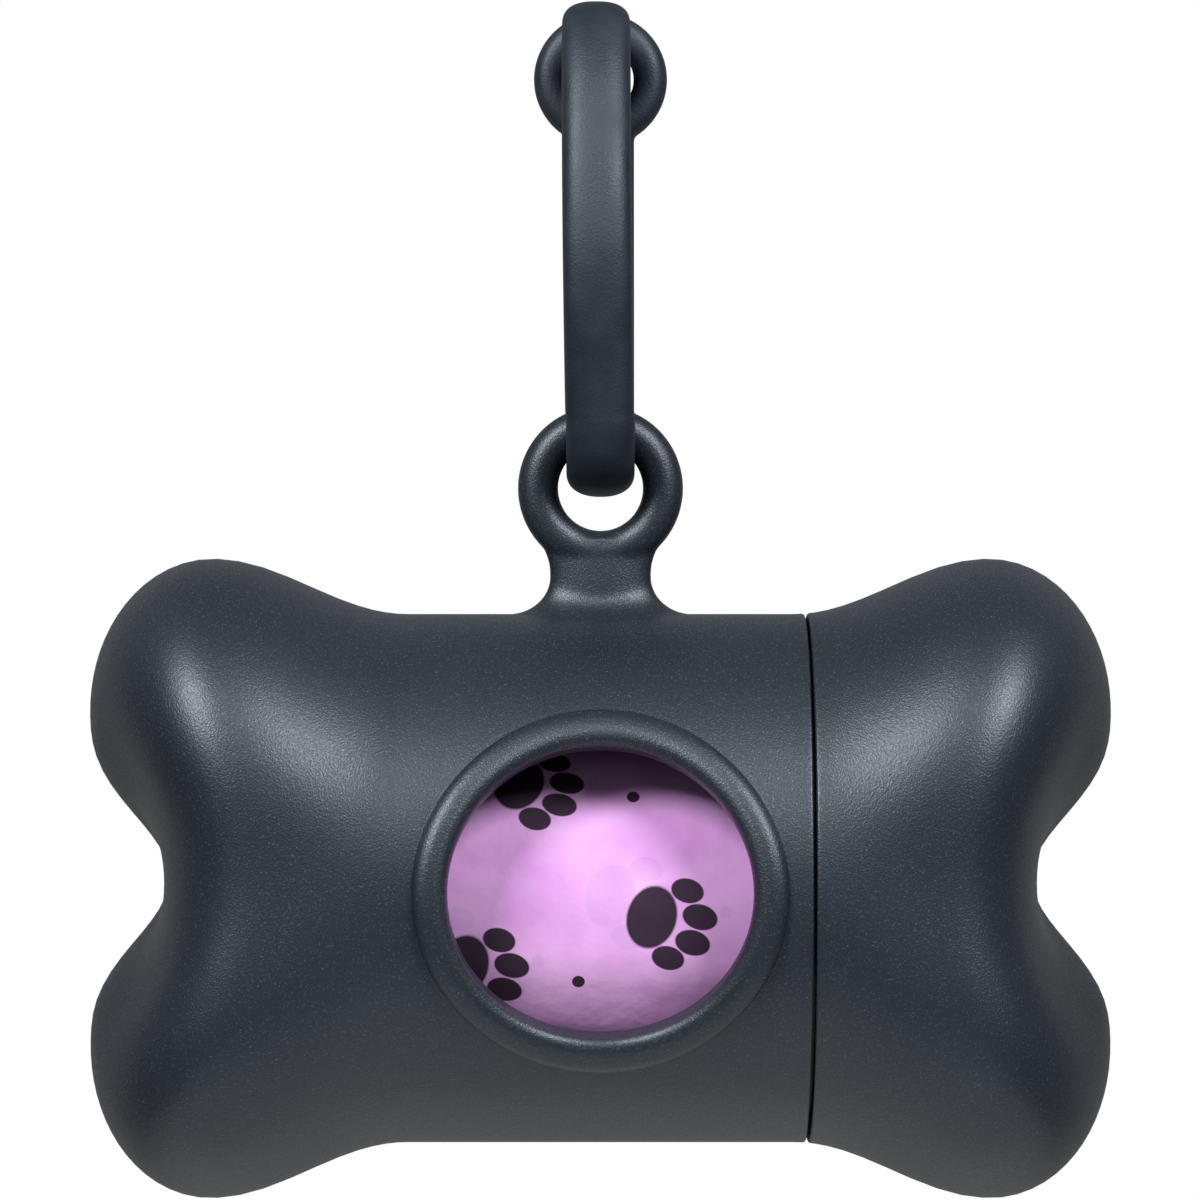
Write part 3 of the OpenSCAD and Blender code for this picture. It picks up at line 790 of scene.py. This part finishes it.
def paws(tree, flat):
    """Darkness of a pattern of paw prints and dots; flat is a place on the film in millimetres."""
    wide, high = PRINT_TILE
    tile = add(tree, "ShaderNodeVectorMath", {
        0: flat, 1: (1 / wide, 1 / high, 0),
    }, operation="MULTIPLY")
    split = add(tree, "ShaderNodeSeparateXYZ", {0: tile.outputs[0]})
    # every other row is shifted by half a tile
    row = add(tree, "ShaderNodeMath", {0: split.outputs["Y"]}, operation="FLOOR")
    shifted = add(tree, "ShaderNodeMath", {
        0: row.outputs[0], 1: 0.5, 2: split.outputs["X"],
    }, operation="MULTIPLY_ADD")
    moved = add(tree, "ShaderNodeCombineXYZ", {0: shifted.outputs[0], 1: split.outputs["Y"]})
    cell = add(tree, "ShaderNodeVectorMath", {0: moved.outputs[0]}, operation="FRACTION")
    local = add(tree, "ShaderNodeVectorMath", {
        0: cell.outputs[0], 1: (wide, high, 0), 2: (-wide / 2, -high / 2, 0),
    }, operation="MULTIPLY_ADD")
    nearest = None
    for (x, y), (half_w, half_h) in PRINT_SHAPES:
        pad = add(tree, "ShaderNodeVectorMath", {
            0: local.outputs[0], 1: (1 / half_w, 1 / half_h, 0), 2: (-x / half_w, -y / half_h, 0),
        }, operation="MULTIPLY_ADD")
        reach = add(tree, "ShaderNodeVectorMath", {0: pad.outputs[0]}, operation="LENGTH")
        if nearest is None:
            nearest = reach.outputs["Value"]
        else:
            nearest = add(tree, "ShaderNodeMath", {
                0: nearest, 1: reach.outputs["Value"],
            }, operation="MINIMUM").outputs[0]
    dark = add(tree, "ShaderNodeMapRange", {
        "Value": nearest, "From Min": 0.95, "From Max": 1.04, "To Min": 1.0, "To Max": 0.0,
    })
    return dark.outputs["Result"]


def printed_film():
    # thin HDPE film: lilac, glossy, printed in dark ink; the layers below show through faintly
    material, tree = empty_material("Thin HDPE film, printed, glossy")
    coords = add(tree, "ShaderNodeTexCoord")
    # the UV map runs from 0 to 1, and the print lies askew on it
    laid_flat = {
        "Vector": coords.outputs["UV"],
        "Rotation": (0, 0, math.radians(16)), "Scale": (*BAG_FLAT, 1),
    }
    flat = add(tree, "ShaderNodeMapping", {**laid_flat, "Location": (3.5, 6.5, 0)})
    below = add(tree, "ShaderNodeMapping", {**laid_flat, "Location": (12, -3, 0)})
    ink, ghost = paws(tree, flat.outputs["Vector"]), paws(tree, below.outputs["Vector"])
    # cloudy thickness of the film, 7 mm
    cloud = add(tree, "ShaderNodeTexNoise", {
        "Vector": coords.outputs["Object"], "Scale": 150, "Detail": 2.0,
    })
    shade = add(tree, "ShaderNodeValToRGB", {"Fac": cloud.outputs["Fac"]})
    for stop, at, tone in zip(shade.color_ramp.elements, (0.35, 0.65), ("#bf85c7", "#d29dd8")):
        stop.position, stop.color = at, linear(tone)
    faint = add(tree, "ShaderNodeMath", {0: ghost, 1: 0.13}, operation="MULTIPLY")
    film = add(tree, "ShaderNodeMix", {
        0: faint.outputs[0], 6: shade.outputs["Color"], 7: linear("#77659c"),
    }, data_type="RGBA")
    strong = add(tree, "ShaderNodeMath", {0: ink, 1: 0.96}, operation="MULTIPLY")
    colour = add(tree, "ShaderNodeMix", {
        0: strong.outputs[0], 6: film.outputs[2], 7: linear("#0d080d"),
    }, data_type="RGBA")
    # the ink lies dull on the glossy film
    rough = add(tree, "ShaderNodeMapRange", {"Value": ink, "To Min": 0.33, "To Max": 0.7})
    sheen = add(tree, "ShaderNodeMapRange", {"Value": ink, "To Min": 0.5, "To Max": 0.15})
    # fine creases of the film, 2.5 mm
    crease = add(tree, "ShaderNodeTexNoise", {
        "Vector": coords.outputs["Object"], "Scale": 400, "Detail": 3.0, "Roughness": 0.5,
    })
    relief = add(tree, "ShaderNodeBump", {
        "Height": crease.outputs["Fac"], "Strength": 0.35, "Distance": 0.0003,
    })
    shader = add(tree, "ShaderNodeBsdfPrincipled", {
        "Base Color": colour.outputs[2], "Roughness": rough.outputs["Result"],
        "Normal": relief.outputs["Normal"], "IOR": 1.45,
        "Specular IOR Level": sheen.outputs["Result"],
        "Subsurface Weight": 0.2, "Subsurface Radius": (0.001, 0.0006, 0.001),
        "Subsurface Scale": 1.0,
    })
    add(tree, "ShaderNodeOutputMaterial", {"Surface": shader.outputs["BSDF"]})
    return material


def wound_film():
    # the same film wound tight: its ends show the layers' edges as fine light and dark rings
    material, tree = empty_material("Wound HDPE film")
    place = add(tree, "ShaderNodeTexCoord").outputs["Object"]
    centred = add(tree, "ShaderNodeVectorMath", {
        0: place, 1: (0, 1, 1), 2: (0, 0, -ROLL_Z / 1000),
    }, operation="MULTIPLY_ADD")
    radius = add(tree, "ShaderNodeVectorMath", {0: centred.outputs[0]}, operation="LENGTH")
    # one line for each layer that can be told apart, 0.2 mm
    line = add(tree, "ShaderNodeTexNoise", {
        "W": radius.outputs["Value"], "Scale": 5000, "Detail": 2.0,
    }, noise_dimensions="1D")
    shade = add(tree, "ShaderNodeValToRGB", {"Fac": line.outputs["Fac"]})
    for stop, at, tone in zip(shade.color_ramp.elements, (0.3, 0.7), ("#9a64a4", "#c08fc5")):
        stop.position, stop.color = at, linear(tone)
    relief = add(tree, "ShaderNodeBump", {
        "Height": line.outputs["Fac"], "Strength": 0.5, "Distance": 0.0001,
    })
    shader = add(tree, "ShaderNodeBsdfPrincipled", {
        "Base Color": shade.outputs["Color"], "Roughness": 0.38,
        "Normal": relief.outputs["Normal"], "IOR": 1.54,
    })
    add(tree, "ShaderNodeOutputMaterial", {"Surface": shader.outputs["BSDF"]})
    return material


def wound_card():
    # uncoated card wound in a spiral: fibres, and a darker line where the strip's edges meet
    material, tree = empty_material("Spiral-wound card, uncoated")
    place = add(tree, "ShaderNodeTexCoord").outputs["Object"]
    split = add(tree, "ShaderNodeSeparateXYZ", {0: place})
    height = add(tree, "ShaderNodeMath", {
        0: split.outputs["Z"], 1: -ROLL_Z / 1000,
    }, operation="ADD")
    turn = add(tree, "ShaderNodeMath", {
        0: height.outputs[0], 1: split.outputs["Y"],
    }, operation="ARCTAN2")
    turns = add(tree, "ShaderNodeMath", {0: turn.outputs[0], 1: 2 * math.pi}, operation="DIVIDE")
    # the strip is 22 mm wide along the tube
    strip = add(tree, "ShaderNodeMath", {
        0: split.outputs["X"], 1: 1 / 0.022, 2: turns.outputs[0],
    }, operation="MULTIPLY_ADD")
    share = add(tree, "ShaderNodeMath", {0: strip.outputs[0]}, operation="FRACT")
    seam = add(tree, "ShaderNodeMapRange", {
        "Value": share.outputs[0], "From Min": 0.0, "From Max": 0.03, "To Min": 1.0, "To Max": 0.0,
    })
    # fibres, 0.4 mm
    fibre = add(tree, "ShaderNodeTexNoise", {
        "Vector": place, "Scale": 2600, "Detail": 5.0, "Roughness": 0.7, "Distortion": 1.5,
    })
    shade = add(tree, "ShaderNodeValToRGB", {"Fac": fibre.outputs["Fac"]})
    for stop, at, tone in zip(shade.color_ramp.elements, (0.3, 0.72), ("#93785a", "#b89c78")):
        stop.position, stop.color = at, linear(tone)
    colour = add(tree, "ShaderNodeMix", {
        0: seam.outputs["Result"], 6: shade.outputs["Color"], 7: linear("#5f4a36"),
    }, data_type="RGBA")
    relief = add(tree, "ShaderNodeBump", {
        "Height": fibre.outputs["Fac"], "Strength": 0.5, "Distance": 0.0001,
    })
    shader = add(tree, "ShaderNodeBsdfPrincipled", {
        "Base Color": colour.outputs[2], "Roughness": 0.88,
        "Normal": relief.outputs["Normal"], "IOR": 1.45,
    })
    add(tree, "ShaderNodeOutputMaterial", {"Surface": shader.outputs["BSDF"]})
    return material


def pale_floor():
    # matte paper: off-white, with a very faint mottle, 5 mm
    material, tree = empty_material("Matte paper, pale")
    place = add(tree, "ShaderNodeTexCoord").outputs["Object"]
    fibre = add(tree, "ShaderNodeTexNoise", {"Vector": place, "Scale": 200, "Detail": 3.0})
    shade = add(tree, "ShaderNodeValToRGB", {"Fac": fibre.outputs["Fac"]})
    for stop, tone in zip(shade.color_ramp.elements, ("#dcdcda", "#e4e4e2")):
        stop.color = linear(tone)
    shader = add(tree, "ShaderNodeBsdfPrincipled", {
        "Base Color": shade.outputs["Color"], "Roughness": 0.9,
    })
    add(tree, "ShaderNodeOutputMaterial", {"Surface": shader.outputs["BSDF"]})
    return material


# ---------------------------------------------------------------- camera, lights and floor

# the lights face the middle of the bone; azimuth 0 is in front and positive to the right
LIT_MIDDLE = np.array([0, 0, -0.060])
# name, azimuth, elevation, distance, side of the square, power
SOFT_BOXES = (
    ("Key", 40, 37, 0.55, 0.18, 3.8),
    ("Fill", -40, 37, 0.55, 0.18, 4.2),
    ("Edge", 180, 0, 0.45, 0.9, 0.35),
)
# the floor is far enough below that it leaves the underside of the bone dark
FLOOR_R, FLOOR_Z = 0.35, -0.360
# the camera's place and tilt follow the curve of the seam, its lens the width of the bone
CAMERA_PLACE, CAMERA_TILT, CAMERA_LENS = (-0.00004, -0.445, -0.0375), math.radians(89.141), 166.05


def soft_light(name, azimuth, elevation, far, size, power):
    """A square soft box."""
    a, e = math.radians(azimuth), math.radians(elevation)
    away = np.array([math.sin(a) * math.cos(e), -math.cos(a) * math.cos(e), math.sin(e)])
    bpy.ops.object.select_all(action="DESELECT")
    bpy.ops.object.light_add(type="AREA", location=LIT_MIDDLE + far * away)
    light = bpy.context.active_object
    light.name = light.data.name = name
    light.rotation_euler = (math.pi / 2 - e, 0, a)
    light.data.size = size
    light.data.energy = power


def studio():
    """White background that lights only weakly, pale floor, soft lights and the camera."""
    scene = bpy.context.scene
    scene.view_settings.view_transform = "Standard"
    world = bpy.data.worlds.new("Studio")
    world.use_nodes = True
    world.node_tree.nodes.clear()
    tree = world.node_tree
    white = (1, 1, 1, 1)
    seen = add(tree, "ShaderNodeLightPath")
    lit = add(tree, "ShaderNodeBackground", {"Color": white, "Strength": 0.16})
    plain = add(tree, "ShaderNodeBackground", {"Color": white, "Strength": 1.0})
    both = add(tree, "ShaderNodeMixShader", {
        0: seen.outputs["Is Camera Ray"], 1: lit.outputs[0], 2: plain.outputs[0],
    })
    add(tree, "ShaderNodeOutputWorld", {"Surface": both.outputs[0]})
    scene.world = world

    bpy.ops.object.select_all(action="DESELECT")
    bpy.ops.mesh.primitive_circle_add(
        vertices=96, radius=FLOOR_R, fill_type="NGON", location=(0, 0, FLOOR_Z),
    )
    floor = new_piece("floor")
    floor.data.materials.append(pale_floor())

    for light in SOFT_BOXES:
        soft_light(*light)

    bpy.ops.object.camera_add(location=CAMERA_PLACE, rotation=(CAMERA_TILT, 0, 0))
    camera = bpy.context.active_object
    camera.name = "Camera"
    camera.data.sensor_width = 36
    camera.data.lens = CAMERA_LENS
    camera.data.clip_start = 0.01
    scene.camera = camera


# ---------------------------------------------------------------- the dispenser

studio()
shell, sleeve, silicone = soft_touch_shell(), satin_sleeve(), silicone_band()
film, wound, card = printed_film(), wound_film(), wound_card()

long_part, cap_end = make_bone()
settle(long_part, BONE_Z, "barrel", shell)
settle(cap_end, BONE_Z, "cap", shell)
lug = settle(make_lug(), BONE_Z, "barrel", shell, 80)
strap = settle(make_strap(), HOLE_Z, "strap_loop", silicone, 80)
roll = settle(make_roll(), ROLL_Z, "roll", wound, 50)
bag = settle(make_loose_bag(), ROLL_Z, "roll", film, 60)

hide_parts("body_shell")
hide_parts("body_shell")
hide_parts("end_cap", "cap_wall")
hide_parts("strap")
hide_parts("bag_roll")
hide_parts("leading_bag")
for name, material in (("mouth_sleeve", sleeve), ("roll_core", card)):
    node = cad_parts[name]
    node.data.materials.clear()
    node.data.materials.append(material)
